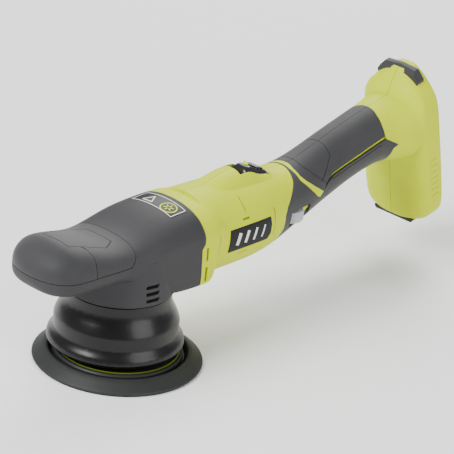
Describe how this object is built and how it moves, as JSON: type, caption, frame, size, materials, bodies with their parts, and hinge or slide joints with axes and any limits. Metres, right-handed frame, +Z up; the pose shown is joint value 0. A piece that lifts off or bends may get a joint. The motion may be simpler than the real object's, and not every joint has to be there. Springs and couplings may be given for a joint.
{
  "type": "dual-action polisher",
  "caption": "Cordless dual-action polisher: round pad under a gear head, inline motor body, rising handle and battery foot.",
  "frame": {"origin": "on the drive spindle's axis, level with the pad's hook face", "axes": "+X from the spindle toward the battery foot, +Z up along the spindle, +Y to the right of a user who stands behind the foot and looks toward the head"},
  "size_m": [0.4361, 0.127, 0.1727],
  "materials": {
    "lime_plastic": "satin moulded ABS",
    "grey_plastic": "matte",
    "grey_rubber": "matte overmould",
    "badge_plastic": "semi-gloss",
    "black_plastic": "matte",
    "black_rubber": "semi-gloss",
    "pad_rubber": "satin",
    "hook_fabric": "woven hooks",
    "gloss_black": "gloss",
    "lime_mark": "gloss",
    "dial_grey": "matte",
    "cast_aluminium": "cast",
    "steel": "turned",
    "cast_steel": "cast",
    "magnet": "sintered",
    "copper": "bright",
    "carbon": "sintered graphite",
    "board_green": "solder mask"
  },
  "bodies": {
    "housing": {"head_cover": "grey_plastic", "nose_cap": "grey_rubber", "palm_band": "grey_rubber", "palm_pad": "grey_rubber", "top_label": "badge_plastic", "body_shell_left": "lime_plastic", "body_shell_right": "lime_plastic", "side_badges": "badge_plastic", "foot_bumper_top": "grey_rubber", "foot_bumper_bottom": "black_plastic", "neck_collar_left": "grey_rubber", "neck_collar_right": "grey_rubber", "handle_grip_left": "grey_rubber", "handle_grip_right": "grey_rubber", "shroud": "black_rubber", "gearbox_case": "cast_aluminium", "bearing_retainer": "cast_aluminium", "retainer_screws": "steel", "spindle_bearing_outer_races": "steel", "spindle_bearing_balls": "steel", "motor_bearing_outer_races": "steel", "motor_bearing_balls": "steel", "motor_can": "steel", "motor_end_frame": "black_plastic", "field_magnets": "magnet", "carbon_brushes": "carbon", "brush_holders": "black_plastic", "switch_bezel": "black_plastic", "switch_body": "black_plastic", "dial_potentiometer": "black_plastic", "control_board": "board_green", "terminal_block": "black_plastic", "battery_contacts": "copper", "housing_screws": "steel"},
    "rotor": {"motor_shaft": "steel", "drive_pinion": "steel", "armature_core": "steel", "windings": "copper", "commutator": "copper", "cooling_fan": "black_plastic", "motor_bearing_inner_races": "steel"},
    "spindle": {"output_spindle": "steel", "crown_gear": "steel", "eccentric_hub": "cast_steel", "spindle_bearing_inner_races": "steel", "pad_bearing_outer_race": "steel", "pad_bearing_balls": "steel"},
    "pad": {"hook_disc": "hook_fabric", "pad_flange": "pad_rubber", "backing_plate": "black_plastic", "guard_ring": "lime_plastic", "pad_washer": "steel", "pad_bolt": "steel", "pad_shaft": "steel", "pad_bearing_inner_race": "steel"},
    "slider": {"switch_slider": "gloss_black", "switch_mark": "lime_mark"},
    "dial": {"speed_dial": "dial_grey"}
  },
  "joints": [
    {"name": "spindle_spin", "type": "hinge", "parent": "housing", "child": "spindle", "pos_m": [0, 0, 0.06], "axis": [0, 0, 1], "continuous": true},
    {"name": "motor_spin", "type": "hinge", "parent": "housing", "child": "rotor", "pos_m": [0.1, 0, 0.0865], "axis": [1, 0, 0], "continuous": true},
    {"name": "pad_spin", "type": "hinge", "parent": "spindle", "child": "pad", "pos_m": [0, -0.004, 0.02], "axis": [0, 0, 1], "continuous": true},
    {"name": "switch_slide", "type": "slide", "parent": "housing", "child": "slider", "axis": [-1, 0, 0], "range_m": [0, 0.007]},
    {"name": "dial_turn", "type": "hinge", "parent": "housing", "child": "dial", "pos_m": [0.163, -0.0172, 0.081], "axis": [0, 0, 1], "range_deg": [0, 270]}
  ],
  "couplings": [
    {"joint": "motor_spin", "follows": "spindle_spin", "ratio": 2.9091}
  ]
}
